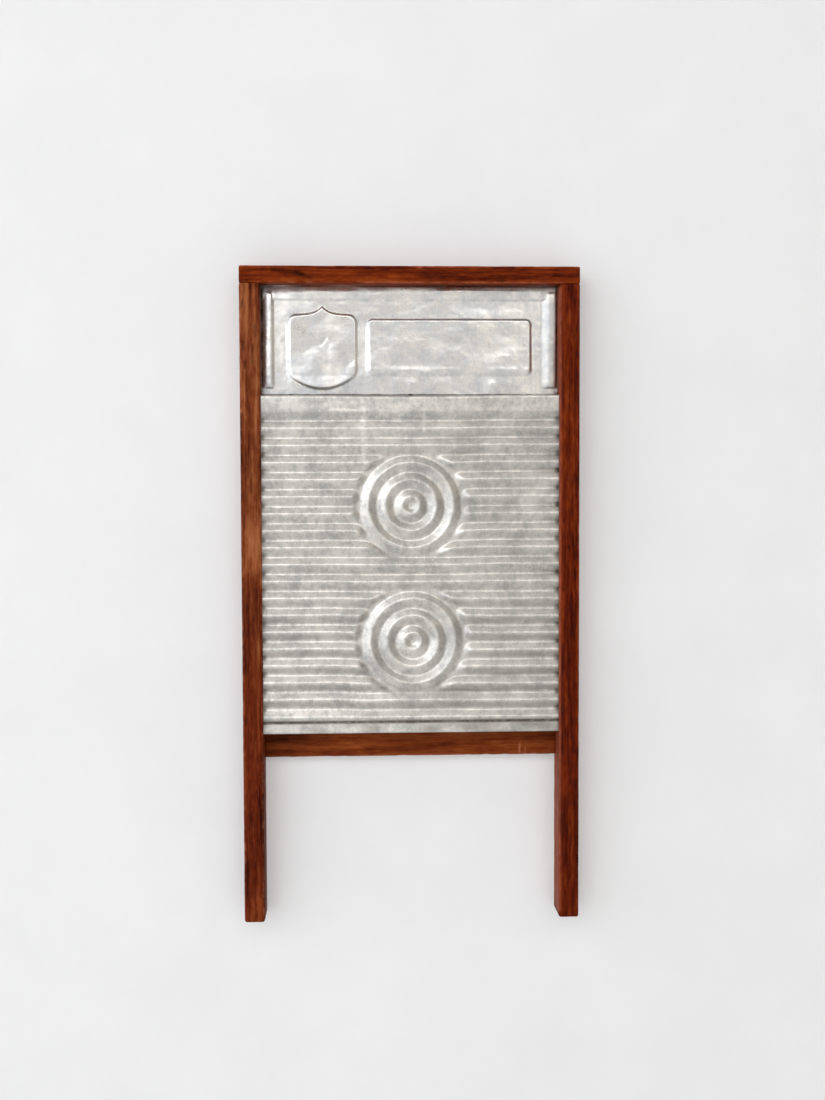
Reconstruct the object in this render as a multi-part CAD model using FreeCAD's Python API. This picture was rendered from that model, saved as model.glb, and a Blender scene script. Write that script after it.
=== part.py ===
import FreeCAD, Part
import math
import os

# Family-size washboard with a wooden frame, an embossed aluminium head and a corrugated aluminium
# rubbing sheet. Millimetres. X runs across the board, Y from front to back, Z up. The origin is on
# the ground between the feet, halfway through the frame's thickness.

# Driving dimensions
WIDTH = 314.325          # 12 3/8 in across the frame
HEIGHT = 609.6           # 24 in from the feet to the top
DEPTH = 31.75            # 1 1/4 in thick
STILE_FACE = 19.05       # 3/4 in face of each stile
TOP_RAIL_HEIGHT = 15.875
THIN_STOCK = 9.525       # 3/8 in stock of the bottom rail and head board
SLAT_STOCK = 6.35        # 1/4 in stock of the back slats
GROOVE_DEPTH = 5.5       # how far the grooves and housings go into the stiles
HOUSED = 5.0             # how far sheets, boards and slats reach into them
CLEARANCE = 0.3          # play between a sheet's edge and its neighbour

# Rubbing sheet
PITCH = 15.875           # 5/8 in from one rubbing ridge to the next
RIDGE_HEIGHT = 4.0
RIDGE_COUNT = 18
SHEET_THICKNESS = 0.5
SHEET_TOP_Z = 492.4      # top of the fold, which is the soap ledge
CREST_RADIUS = PITCH / 6   # of the round crests and valleys; straight slopes join them
CREST_RECESS = 4.5       # from the frame's front face back to the ridge crests
VALLEY_BLEND = 0.12      # the flat valley floors stand this far in front of the arcs' lowest line
FOLD_RADIUS = 2.5
LIP_END_Z = 176.5        # lower edge of the sheet
LIP_HEIGHT = 9.8         # flat strip below the crease where the corrugation ends
LIP_END_RECESS = 5.4     # the strip leans forward to here
RIDGE_FOOT = 0.2         # the ridge outline stops this short of its valley line
RIDGE_ROOT = 2.0         # its buried base lies this far behind the valley floors
SHEET_BACKING = 8.0      # depth of the block that the sheet is skinned from
RING_COUNT = 3
MEDALLIONS = ((4, 0.0), (12, 1.5))   # the ridge above each medallion's centre, and the centre's X
NUB_RADIUS = 1.7

# Head sheet
HEAD_RECESS = 16.0
HEAD_THICKNESS = 0.4
SEAM = 0.1               # gap between the head sheet's lower edge and the soap ledge
BAND_STEP_Z = 580.3      # lower edge of the raised band along the top
BAND_HEIGHT = 1.0
BAND_CORNER = 2.0
BEADS = ((-132.0, 11.6), (130.2, 14.8))   # X of the middle and width of each upright bead
BEAD_LENGTH = 90.0
BEAD_HEIGHT = 2.0
BEAD_CENTRE_Z = 543.7
PAD_ROOT = 1.0           # the raised pads start this far behind the sheet's ground plane
PANEL_HEIGHT = 1.8
SHIELD_X = -81.5
SHIELD_Z = 536.0
SHIELD_WIDTH = 63.5
SHIELD_HEIGHT = 76.2
SHIELD_SIDE = (-0.62, 0.52)      # ends of its straight sides; these are shares of its half size
SHIELD_CORNER = (0.9, 0.75)      # a point on the round upper corner
SHIELD_SHOULDER = (0.62, 0.84)   # where the corner turns into the ogee
SHIELD_OGEE = (0.26, 0.88)       # a point on the ogee, which rises to the peak
PLATE_X = 36.8
PLATE_Z = 537.0
PLATE_WIDTH = 152.4
PLATE_HEIGHT = 50.8
PLATE_CORNER = 4.5

# Cross rails
BOTTOM_RAIL_Z = 151.2
BOTTOM_RAIL_HEIGHT = 38.1
TENON_THICKNESS = 5.0
TENON_SHOULDER = 4.0
FOOT_RAIL_HEIGHT = 12.7
FOOT_RAIL_RISE = 1.2     # from the end of the sheet's lower lip up to the foot rail
LEDGE_HEIGHT = 14.3
LEDGE_GAP = 1.0          # the sheet's flat band stands this far in front of the ledge rail
SLAT_HEIGHT = 38.1
SLAT_VALLEYS = (1, 8, 15)     # each slat is centred behind the valley below this ridge
SLAT_NAMES = ("upper_back_slat", "middle_back_slat", "lower_back_slat")

# Eased edges
EASE = 1.2
INNER_EASE = 2.6         # the stiles' inner front edges are worn rounder

# Working allowances
OVERCUT = 1.0            # cuts run this far past an open face
TOUCH = 0.05             # closer than this counts as the same place
ALIGNED = 0.9            # a unit direction with this much along an axis counts as parallel to it

# Nails: shank radius, head radius, head thickness, length
FRAME_NAIL = (1.0, 2.2, 1.0, 38.0)
RAIL_NAIL = (0.9, 1.9, 0.9, 32.0)
SLAT_NAIL = (0.7, 1.5, 0.7, 25.0)
FOOT_RAIL_NAIL = (0.7, 1.5, 0.7, 20.0)
SHEET_TACK = (0.7, 2.2, 0.5, 9.0)
NAIL_TIP_SHARE = 0.2         # radius of a nail's blunt tip as a share of its shank

# Nail places
TOP_NAIL_INSET = 7.6         # from the frame's outer face
TOP_NAIL_RECESSES = (8.6, 23.2)
RAIL_NAIL_SHARES = (0.3, 0.7)     # up the bottom rail's height
FOOT_NAIL_SPREAD = 0.75      # outer foot rail nails, as a share of the way from the middle to the stiles
TACK_SPREAD = 0.8            # outer ledge tacks, likewise
TACK_RECESS = 10.9

# Worked out from the dimensions above
HALF_WIDTH = WIDTH / 2
INNER_X = HALF_WIDTH - STILE_FACE
HOUSED_X = INNER_X + HOUSED
STILE_HEIGHT = HEIGHT - TOP_RAIL_HEIGHT
TOP_RIDGE_Z = SHEET_TOP_Z - 2 * PITCH
CREASE_Z = LIP_END_Z + LIP_HEIGHT
VALLEY_RECESS = CREST_RECESS + RIDGE_HEIGHT
FOOT_RAIL_Z = LIP_END_Z + FOOT_RAIL_RISE
LEDGE_TOP_Z = SHEET_TOP_Z - SHEET_THICKNESS
LEDGE_RECESS = CREST_RECESS + SHEET_THICKNESS + LEDGE_GAP
BOARD_RECESS = HEAD_RECESS + HEAD_THICKNESS
BOARD_BACK_RECESS = BOARD_RECESS + THIN_STOCK
RAIL_RECESS = DEPTH - THIN_STOCK
SLAT_RECESS = VALLEY_RECESS + SHEET_THICKNESS
TENON_RECESS = RAIL_RECESS + (THIN_STOCK - TENON_THICKNESS) / 2
SPREAD = 4 * CREST_RADIUS - RIDGE_HEIGHT
SLOPE = 2 * math.atan((PITCH - math.sqrt(PITCH ** 2 - 4 * RIDGE_HEIGHT * SPREAD)) / (2 * SPREAD))
ARC_REACH = CREST_RADIUS * math.sin(SLOPE)


def at(recess):
    """Y of a plane this far behind the frame's front face."""
    return recess - DEPTH / 2


def box(x_low, x_high, recess_low, recess_high, z_low, z_high):
    corner = FreeCAD.Vector(x_low, at(recess_low), z_low)
    return Part.makeBox(x_high - x_low, recess_high - recess_low, z_high - z_low, corner)


def crest_z(index):
    """Height of a rubbing ridge, counted down from the top one."""
    return TOP_RIDGE_Z - index * PITCH


def valley_z(index):
    """Height of the valley just below a rubbing ridge."""
    return crest_z(index) - PITCH / 2


def edges_where(shape, test):
    """The straight edges whose midpoint and direction pass a test."""
    chosen = []
    for edge in shape.Edges:
        middle = edge.CenterOfMass
        direction = edge.tangentAt(edge.FirstParameter)
        if test(middle, direction):
            chosen.append(edge)
    return chosen


# ---------------------------------------------------------------- nails

def nail(kind, head_point, direction):
    """A nail whose flat head lies in the surface at head_point; direction is the way it points."""
    shank_radius, head_radius, head_thickness, length = kind
    head = Part.makeCylinder(head_radius, head_thickness, head_point, direction)
    shank = Part.makeCylinder(shank_radius, length - shank_radius * 2, head_point, direction)
    tip_start = head_point + direction * (length - shank_radius * 2)
    tip = Part.makeCone(shank_radius, shank_radius * NAIL_TIP_SHARE, shank_radius * 2, tip_start, direction)
    return head.fuse([shank, tip]).removeSplitter()


def mirrored_pair(kind, recess, z):
    """Two nails driven inward through the stiles' outer faces."""
    left = nail(kind, FreeCAD.Vector(-HALF_WIDTH, at(recess), z), FreeCAD.Vector(1, 0, 0))
    right = nail(kind, FreeCAD.Vector(HALF_WIDTH, at(recess), z), FreeCAD.Vector(-1, 0, 0))
    return [left, right]


def top_rail_nails():
    """Two nails down through the top rail into each stile's end."""
    nails = []
    across = HALF_WIDTH - TOP_NAIL_INSET
    for x in (-across, across):
        for recess in TOP_NAIL_RECESSES:
            head_point = FreeCAD.Vector(x, at(recess), HEIGHT)
            nails.append(nail(FRAME_NAIL, head_point, FreeCAD.Vector(0, 0, -1)))
    return nails


def bottom_rail_nails():
    """Two nails through each stile into the bottom rail's tenon."""
    recess = RAIL_RECESS + THIN_STOCK / 2
    nails = []
    for share in RAIL_NAIL_SHARES:
        nails += mirrored_pair(RAIL_NAIL, recess, BOTTOM_RAIL_Z + BOTTOM_RAIL_HEIGHT * share)
    return nails


def ledge_rail_nails():
    """One nail through each stile into the ledge rail's end."""
    recess = (LEDGE_RECESS + BOARD_BACK_RECESS) / 2
    return mirrored_pair(RAIL_NAIL, recess, LEDGE_TOP_Z - LEDGE_HEIGHT / 2)


def back_slat_nails():
    """One nail through each stile into each end of every back slat."""
    nails = []
    for valley in SLAT_VALLEYS:
        nails += mirrored_pair(SLAT_NAIL, SLAT_RECESS + SLAT_STOCK / 2, valley_z(valley))
    return nails


def foot_rail_nails():
    """Three nails from the back, through the bottom rail into the foot rail."""
    nails = []
    for share in (-FOOT_NAIL_SPREAD, 0, FOOT_NAIL_SPREAD):
        head_point = FreeCAD.Vector(INNER_X * share, at(DEPTH), FOOT_RAIL_Z + FOOT_RAIL_HEIGHT / 2)
        nails.append(nail(FOOT_RAIL_NAIL, head_point, FreeCAD.Vector(0, -1, 0)))
    return nails


def ledge_tacks():
    """Three tacks that pin the rubbing sheet's folded top to the ledge rail; their heads stand on it."""
    nails = []
    for share in (-TACK_SPREAD, 0, TACK_SPREAD):
        head_point = FreeCAD.Vector(INNER_X * share, at(TACK_RECESS), SHEET_TOP_Z + SHEET_TACK[2])
        nails.append(nail(SHEET_TACK, head_point, FreeCAD.Vector(0, 0, -1)))
    return nails


# ---------------------------------------------------------------- wooden frame

def stile(side, nails):
    """One stile, which is also a leg. side is -1 for the left and 1 for the right."""
    outer = side * HALF_WIDTH
    inner = side * INNER_X
    bar = box(min(outer, inner), max(outer, inner), 0, DEPTH, 0, STILE_HEIGHT)

    def upright(middle, direction):
        return abs(direction.z) > ALIGNED

    def inner_front(middle, direction):
        return upright(middle, direction) and abs(middle.x - inner) < TOUCH and middle.y < 0

    def other_edge(middle, direction):
        return (upright(middle, direction) and not inner_front(middle, direction)) or middle.z < TOUCH

    bar = bar.makeFillet(INNER_EASE, edges_where(bar, inner_front))
    bar = bar.makeFillet(EASE, edges_where(bar, other_edge))

    def pocket(depth, recess_low, recess_high, z_low, z_high):
        far = inner + side * depth
        near = inner - side * OVERCUT
        return box(min(far, near), max(far, near), recess_low, recess_high, z_low, z_high)

    cuts = [
        pocket(GROOVE_DEPTH, CREST_RECESS - CLEARANCE, SLAT_RECESS, LIP_END_Z - CLEARANCE, SHEET_TOP_Z),
        pocket(GROOVE_DEPTH, HEAD_RECESS, BOARD_BACK_RECESS, LEDGE_TOP_Z, STILE_HEIGHT + OVERCUT),
        pocket(GROOVE_DEPTH, LEDGE_RECESS, BOARD_BACK_RECESS, LEDGE_TOP_Z - LEDGE_HEIGHT, SHEET_TOP_Z),
        pocket(GROOVE_DEPTH, TENON_RECESS, TENON_RECESS + TENON_THICKNESS,
               BOTTOM_RAIL_Z + TENON_SHOULDER, BOTTOM_RAIL_Z + BOTTOM_RAIL_HEIGHT - TENON_SHOULDER),
    ]
    for valley in SLAT_VALLEYS:
        middle = valley_z(valley)
        cuts.append(pocket(GROOVE_DEPTH, SLAT_RECESS, SLAT_RECESS + SLAT_STOCK,
                           middle - SLAT_HEIGHT / 2, middle + SLAT_HEIGHT / 2))
    return bar.cut(cuts + nails)


def top_rail(nails):
    """The rail across both stiles' ends, grooved underneath for the head board and head sheet."""
    bar = box(-HALF_WIDTH, HALF_WIDTH, 0, DEPTH, STILE_HEIGHT, HEIGHT)

    def outer_edge(middle, direction):
        at_end = abs(middle.x) > HALF_WIDTH - TOUCH
        at_top = middle.z > HEIGHT - TOUCH
        return at_top or (at_end and abs(direction.z) > ALIGNED)

    bar = bar.makeFillet(EASE, edges_where(bar, outer_edge))
    groove = box(-HOUSED_X, HOUSED_X, HEAD_RECESS, BOARD_BACK_RECESS,
                 STILE_HEIGHT - OVERCUT, STILE_HEIGHT + HOUSED)
    return bar.cut([groove] + nails)


def bottom_rail(nails):
    """The thin cross rail between the legs, flush with their backs, on stub tenons."""
    bar = box(-INNER_X, INNER_X, RAIL_RECESS, DEPTH, BOTTOM_RAIL_Z, BOTTOM_RAIL_Z + BOTTOM_RAIL_HEIGHT)

    def long_edge(middle, direction):
        return abs(direction.x) > ALIGNED

    bar = bar.makeFillet(EASE / 2, edges_where(bar, long_edge))
    tenons = box(-HOUSED_X, HOUSED_X, TENON_RECESS, TENON_RECESS + TENON_THICKNESS,
                 BOTTOM_RAIL_Z + TENON_SHOULDER, BOTTOM_RAIL_Z + BOTTOM_RAIL_HEIGHT - TENON_SHOULDER)
    return bar.fuse(tenons).removeSplitter().cut(nails)


def foot_rail(nails):
    """The hidden strip on the bottom rail's front that backs the rubbing sheet's lower edge."""
    top = FOOT_RAIL_Z + FOOT_RAIL_HEIGHT
    strip = box(-INNER_X, INNER_X, SLAT_RECESS, RAIL_RECESS, FOOT_RAIL_Z, top)
    return strip.cut(nails)


def ledge_rail(nails):
    """The housed cross rail under the soap ledge; the rubbing sheet folds over its rounded front."""
    low = LEDGE_TOP_Z - LEDGE_HEIGHT
    bar = box(-HOUSED_X, HOUSED_X, LEDGE_RECESS, BOARD_BACK_RECESS, low, LEDGE_TOP_Z)

    def top_front(middle, direction):
        at_front = abs(middle.y - at(LEDGE_RECESS)) < TOUCH
        return abs(direction.x) > ALIGNED and middle.z > LEDGE_TOP_Z - TOUCH and at_front

    bar = bar.makeFillet(FOLD_RADIUS - SHEET_THICKNESS, edges_where(bar, top_front))
    return bar.cut(nails)


def head_board():
    """The wooden board behind the head sheet, housed in the stiles and top rail."""
    return box(-HOUSED_X, HOUSED_X, BOARD_RECESS, BOARD_BACK_RECESS, LEDGE_TOP_Z, STILE_HEIGHT + HOUSED)


def back_slat(valley, nails):
    """A cross slat behind the rubbing sheet, touching the backs of its valleys."""
    middle = valley_z(valley)
    slat = box(-HOUSED_X, HOUSED_X, SLAT_RECESS, SLAT_RECESS + SLAT_STOCK,
               middle - SLAT_HEIGHT / 2, middle + SLAT_HEIGHT / 2)
    return slat.cut(nails)


# ---------------------------------------------------------------- rubbing sheet

def profile_height(distance):
    """Height of the ridge profile above its valley line, at a distance from the crest."""
    if distance <= ARC_REACH:
        return RIDGE_HEIGHT - CREST_RADIUS + math.sqrt(CREST_RADIUS ** 2 - distance ** 2)
    if distance >= PITCH / 2 - ARC_REACH:
        return CREST_RADIUS - math.sqrt(CREST_RADIUS ** 2 - (PITCH / 2 - distance) ** 2)
    crest_end = RIDGE_HEIGHT - CREST_RADIUS + CREST_RADIUS * math.cos(SLOPE)
    return crest_end - (distance - ARC_REACH) * math.tan(SLOPE)


def profile_point(distance, place):
    """The profile's point at a distance, placed by a function of distance and recess."""
    return place(distance, VALLEY_RECESS - profile_height(abs(distance)))


def arc_between(start, end, place):
    """The profile's arc between two distances."""
    points = [profile_point(d, place) for d in (start, (start + end) / 2, end)]
    return Part.Arc(*points).toShape()


def slope_between(start, end, place):
    """The profile's straight part between two distances."""
    return Part.makeLine(profile_point(start, place), profile_point(end, place))


def ridge_face(place, start=-1):
    """The ridge's cross section, with its base buried behind the valley floors.

    place turns a distance from the crest and a recess into a point. start is -1 for the whole
    section and 0 for the half from the crest outward.
    """
    valley_start = PITCH / 2 - ARC_REACH
    foot = PITCH / 2 - RIDGE_FOOT
    root = foot - RIDGE_ROOT / 2
    base = VALLEY_RECESS + RIDGE_ROOT
    edges = [
        arc_between(ARC_REACH * start, ARC_REACH, place),
        slope_between(ARC_REACH, valley_start, place),
        arc_between(valley_start, foot, place),
    ]
    if start:
        edges = [
            arc_between(-foot, -valley_start, place),
            slope_between(-valley_start, -ARC_REACH, place),
        ] + edges
    first = profile_point(foot * start, place)
    last = profile_point(foot, place)
    floor = Part.makePolygon([last, place(root, base), place(root * start, base), first])
    return Part.Face(Part.Wire(edges + floor.Edges))


def ridge_bar(x_low, x_high, z):
    """A straight ridge."""
    def place(distance, recess):
        return FreeCAD.Vector(x_low, at(recess), z + distance)

    return ridge_face(place).extrude(FreeCAD.Vector(x_high - x_low, 0, 0))


def ridge_dome(x, z, side):
    """The rounded end of a ridge; side is the way it faces along X."""
    def place(distance, recess):
        return FreeCAD.Vector(x, at(recess), z + distance)

    half_face = ridge_face(place, start=0)
    return half_face.revolve(FreeCAD.Vector(x, 0, z), FreeCAD.Vector(0, side, 0), 180)


def medallion(x, z):
    """Concentric rings with the ridges' profile, and a small nub at their centre."""
    solids = []
    for ring in range(RING_COUNT):
        crest_x = x + (ring + 0.5) * PITCH

        def place(distance, recess, crest_x=crest_x):
            return FreeCAD.Vector(crest_x + distance, at(recess), z)

        solids.append(ridge_face(place).revolve(FreeCAD.Vector(x, 0, z), FreeCAD.Vector(0, 1, 0), 360))
    solids.append(Part.makeSphere(NUB_RADIUS, FreeCAD.Vector(x, at(VALLEY_RECESS), z)))
    return solids


def ridge_spans(index, reach):
    """The stretches of one ridge, as (low x, high x) pairs: two where a medallion interrupts it."""
    clearance = (RING_COUNT + 0.5) * PITCH
    for valley, centre_x in MEDALLIONS:
        offset = crest_z(index) - valley_z(valley)
        if abs(offset) < RING_COUNT * PITCH:
            end = math.sqrt(clearance ** 2 - offset ** 2)
            return [(-reach, centre_x - end), (centre_x + end, reach)]
    return [(-reach, reach)]


def sheet_front(reach):
    """Everything behind the corrugated sheet's front surface, as one solid."""
    floor_recess = VALLEY_RECESS - VALLEY_BLEND
    backing_recess = VALLEY_RECESS + SHEET_BACKING
    band_top = SHEET_TOP_Z - FOLD_RADIUS
    slab = box(-reach, reach, floor_recess, backing_recess, CREASE_Z, band_top)
    band = box(-reach, reach, CREST_RECESS, VALLEY_RECESS + SHEET_BACKING / 2, crest_z(-1), band_top)
    solids = [band]
    for index in range(-1, RIDGE_COUNT):
        for x_low, x_high in ridge_spans(index, reach):
            solids.append(ridge_bar(x_low, x_high, crest_z(index)))
            if x_low > -reach:
                solids.append(ridge_dome(x_low, crest_z(index), -1))
            if x_high < reach:
                solids.append(ridge_dome(x_high, crest_z(index), 1))
    for valley, centre_x in MEDALLIONS:
        solids += medallion(centre_x, valley_z(valley))
    trimmed = box(-reach, reach, 0, backing_recess, CREASE_Z, band_top)
    return slab.fuse(solids).common(trimmed)


def extruded_outline(edges, reach):
    face = Part.Face(Part.Wire(edges))
    return face.extrude(FreeCAD.Vector(2 * reach, 0, 0))


def top_fold(reach):
    """The sheet's top edge, bent back over the ledge rail as far as the head sheet."""
    def point(recess, z):
        return FreeCAD.Vector(-reach, at(recess), z)

    inner = FOLD_RADIUS - SHEET_THICKNESS
    low = SHEET_TOP_Z - FOLD_RADIUS
    centre_recess = CREST_RECESS + FOLD_RADIUS
    diagonal = math.sqrt(0.5)
    end = HEAD_RECESS - CLEARANCE
    outer_arc = Part.Arc(point(CREST_RECESS, low),
                         point(centre_recess - FOLD_RADIUS * diagonal, low + FOLD_RADIUS * diagonal),
                         point(centre_recess, SHEET_TOP_Z)).toShape()
    inner_arc = Part.Arc(point(centre_recess, low + inner),
                         point(centre_recess - inner * diagonal, low + inner * diagonal),
                         point(centre_recess - inner, low)).toShape()
    flange = Part.makePolygon([point(centre_recess, SHEET_TOP_Z), point(end, SHEET_TOP_Z),
                               point(end, LEDGE_TOP_Z), point(centre_recess, LEDGE_TOP_Z)])
    closing = Part.makePolygon([point(centre_recess - inner, low), point(CREST_RECESS, low)])
    return extruded_outline([outer_arc] + flange.Edges + [inner_arc] + closing.Edges, reach)


def lower_lip(reach):
    """The flat strip below the crease, in front of the foot rail."""
    start = VALLEY_RECESS - profile_height(crest_z(RIDGE_COUNT - 1) - CREASE_Z)
    corners = [
        (start, CREASE_Z),
        (LIP_END_RECESS, LIP_END_Z),
        (LIP_END_RECESS + SHEET_THICKNESS, LIP_END_Z),
        (start + SHEET_THICKNESS, CREASE_Z),
        (start, CREASE_Z),
    ]
    outline = Part.makePolygon([FreeCAD.Vector(-reach, at(recess), z) for recess, z in corners])
    return extruded_outline(outline.Edges, reach)


def rub_sheet(tacks):
    """The corrugated sheet with its two ringed medallions, top fold and lower lip."""
    reach = HOUSED_X
    front = sheet_front(reach)
    behind = front.copy()
    behind.translate(FreeCAD.Vector(0, SHEET_THICKNESS, 0))
    sheet = front.cut(behind)
    sheet = sheet.fuse([top_fold(reach), lower_lip(reach)]).removeSplitter()
    return sheet.cut(tacks)


# ---------------------------------------------------------------- head sheet

def raised_pad(outline, height):
    """A pad with bevelled sides on the head sheet; its outline lies in the sheet's ground plane."""
    pad = Part.Face(outline).extrude(FreeCAD.Vector(0, -height - PAD_ROOT, 0))
    top = at(HEAD_RECESS) - height

    def front_edge(middle, direction):
        return abs(middle.y - top) < TOUCH

    return pad.makeChamfer(height - TOUCH, edges_where(pad, front_edge))


def outline_point(x, z):
    """A point in the plane that the raised pads start from."""
    return FreeCAD.Vector(x, at(HEAD_RECESS + PAD_ROOT), z)


def arc(start, middle, end):
    return Part.Arc(outline_point(*start), outline_point(*middle), outline_point(*end)).toShape()


def line(start, end):
    return Part.makeLine(outline_point(*start), outline_point(*end))


def rounded_rectangle(x, z, width, height, radius):
    """A rectangle with round corners, centred at x, z."""
    half_x = width / 2
    half_z = height / 2
    bulge = radius * (1 - math.sqrt(0.5))
    edges = []
    for turn in range(4):
        quarter = turn * math.pi / 2
        cosine = round(math.cos(quarter))
        sine = round(math.sin(quarter))
        along = half_x if turn % 2 == 0 else half_z
        across = half_z if turn % 2 == 0 else half_x

        def place(forward, left, cosine=cosine, sine=sine):
            return (x + forward * cosine - left * sine, z + forward * sine + left * cosine)

        if across - radius > TOUCH:
            edges.append(line(place(along, radius - across), place(along, across - radius)))
        edges.append(arc(place(along, across - radius), place(along - bulge, across - bulge),
                         place(along - radius, across)))
    return Part.Wire(Part.sortEdges(edges)[0])


def shield_outline():
    """A shield with straight sides, a bowed bottom, round shoulders and a pointed ogee top."""
    half = SHIELD_WIDTH / 2
    peak = SHIELD_HEIGHT / 2
    side_low, side_top = [peak * share for share in SHIELD_SIDE]
    edges = [
        line((-half, side_low), (-half, side_top)),
        line((half, side_low), (half, side_top)),
        arc((-half, side_low), (0, -peak), (half, side_low)),
    ]
    for side in (-1, 1):
        corner, shoulder, ogee = [(side * half * across, peak * up) for across, up in
                                  (SHIELD_CORNER, SHIELD_SHOULDER, SHIELD_OGEE)]
        edges.append(arc((side * half, side_top), corner, shoulder))
        edges.append(arc(shoulder, ogee, (0, peak)))
    wire = Part.Wire(Part.sortEdges(edges)[0])
    wire.translate(FreeCAD.Vector(SHIELD_X, 0, SHIELD_Z))
    return wire


def head_front(reach, top):
    """Everything behind the head sheet's front surface, as one solid."""
    ground = box(-reach, reach, HEAD_RECESS, HEAD_RECESS + SHEET_BACKING, SHEET_TOP_Z + SEAM, top)
    band_top = STILE_HEIGHT - CLEARANCE
    band_width = 2 * (INNER_X - CLEARANCE)
    band_height = band_top - BAND_STEP_Z
    band = rounded_rectangle(0, BAND_STEP_Z + band_height / 2, band_width, band_height, BAND_CORNER)
    plate = rounded_rectangle(PLATE_X, PLATE_Z, PLATE_WIDTH, PLATE_HEIGHT, PLATE_CORNER)
    pads = [
        raised_pad(band, BAND_HEIGHT),
        raised_pad(plate, PANEL_HEIGHT),
        raised_pad(shield_outline(), PANEL_HEIGHT),
    ]
    for x, width in BEADS:
        outline = rounded_rectangle(x, BEAD_CENTRE_Z, width, BEAD_LENGTH, width / 2)
        pads.append(raised_pad(outline, BEAD_HEIGHT))
    return ground.fuse(pads)


def head_sheet():
    """The embossed sheet above the soap ledge."""
    front = head_front(HOUSED_X, STILE_HEIGHT + HOUSED - CLEARANCE)
    behind = front.copy()
    behind.translate(FreeCAD.Vector(0, HEAD_THICKNESS, 0))
    return front.cut(behind)


# ---------------------------------------------------------------- assembly

def solids_of(shape):
    """A shape as a plain compound of its solids."""
    return Part.makeCompound(shape.Solids)


def build():
    """Every piece of the washboard, by name."""
    nails = {
        "top_rail_nails": top_rail_nails(),
        "bottom_rail_nails": bottom_rail_nails(),
        "ledge_rail_nails": ledge_rail_nails(),
        "back_slat_nails": back_slat_nails(),
        "foot_rail_nails": foot_rail_nails(),
        "ledge_tacks": ledge_tacks(),
    }
    stile_nails = []
    for name in ("top_rail_nails", "bottom_rail_nails", "ledge_rail_nails", "back_slat_nails"):
        stile_nails += nails[name]
    pieces = {
        "left_stile": stile(-1, stile_nails),
        "right_stile": stile(1, stile_nails),
        "top_rail": top_rail(nails["top_rail_nails"]),
        "bottom_rail": bottom_rail(nails["bottom_rail_nails"] + nails["foot_rail_nails"]),
        "foot_rail": foot_rail(nails["foot_rail_nails"]),
        "ledge_rail": ledge_rail(nails["ledge_rail_nails"] + nails["ledge_tacks"]),
        "head_board": head_board(),
        "head_sheet": head_sheet(),
        "rub_sheet": rub_sheet(nails["ledge_tacks"]),
    }
    for name, valley in zip(SLAT_NAMES, SLAT_VALLEYS):
        pieces[name] = back_slat(valley, nails["back_slat_nails"])
    for name, group in nails.items():
        pieces[name] = Part.makeCompound(group)
    return pieces


os.makedirs("parts", exist_ok=True)
for node_name, piece in build().items():
    solids_of(piece).exportStep(os.path.join("parts", node_name + ".step"))
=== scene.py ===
import math

import bpy
import numpy as np
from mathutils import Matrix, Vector


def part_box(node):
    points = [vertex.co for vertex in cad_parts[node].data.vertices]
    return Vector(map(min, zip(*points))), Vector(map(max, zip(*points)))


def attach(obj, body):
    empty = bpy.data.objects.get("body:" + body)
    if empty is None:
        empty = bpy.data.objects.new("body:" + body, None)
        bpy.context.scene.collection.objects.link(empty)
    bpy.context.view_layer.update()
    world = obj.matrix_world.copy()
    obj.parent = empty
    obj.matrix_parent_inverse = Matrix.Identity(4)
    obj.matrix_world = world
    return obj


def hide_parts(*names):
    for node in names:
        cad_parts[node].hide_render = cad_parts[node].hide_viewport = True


# Washboard visual model. Everything is in metres and in the CAD frame: X across the board, Y from
# front to back, Z up.
MM = 0.001

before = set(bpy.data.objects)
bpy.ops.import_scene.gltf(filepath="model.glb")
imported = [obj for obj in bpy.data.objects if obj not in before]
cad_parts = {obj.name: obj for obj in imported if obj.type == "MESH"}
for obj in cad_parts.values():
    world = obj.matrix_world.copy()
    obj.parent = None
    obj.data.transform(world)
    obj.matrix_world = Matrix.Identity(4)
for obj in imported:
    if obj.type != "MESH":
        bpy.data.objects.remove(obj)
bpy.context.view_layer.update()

# Sizes worked out from the frame
rub_low, rub_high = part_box("rub_sheet")
head_low, head_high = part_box("head_sheet")
stile_low, stile_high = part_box("left_stile")
top_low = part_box("top_rail")[0]
BACK_Y = stile_high.y
INNER_X = -stile_high.x         # the right stile's inner face
NOISE_CELLS = 64

# Rubbing sheet
RIDGE_COUNT = 18
PITCH = 15.875 * MM
RIDGE_HEIGHT = PITCH / 4
CREST_RADIUS = PITCH / 6
SHEET_THICKNESS = 0.5 * MM
FOLD_RADIUS = 2.5 * MM
TOP_RIDGE_Z = rub_high.z - 2 * PITCH
LAST_RIDGE_Z = TOP_RIDGE_Z - (RIDGE_COUNT - 1) * PITCH
CREASE_Z = rub_low.z + 9.8 * MM  # where the lowest slope turns into the lip
LIP_RELIEF = 3.1 * MM           # how far the lip's lower edge stands in front of the valleys
RING_COUNT = 3
MEDALLIONS = [(0.0, TOP_RIDGE_Z - 4.5 * PITCH), (1.5 * MM, TOP_RIDGE_Z - 12.5 * PITCH)]
PIP_RADIUS = 1.5 * MM
PIP_HEIGHT = 1.3 * MM
LEDGE_DROP = 0.6 * MM           # how far the folded edge lies below the CAD sheet's at the left end
RUB_ROWS = 312
SIDE_COLUMNS = 25
CENTRE_COLUMNS = 118
FOLD_ROWS = 7
FLANGE_ROWS = 6

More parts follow.
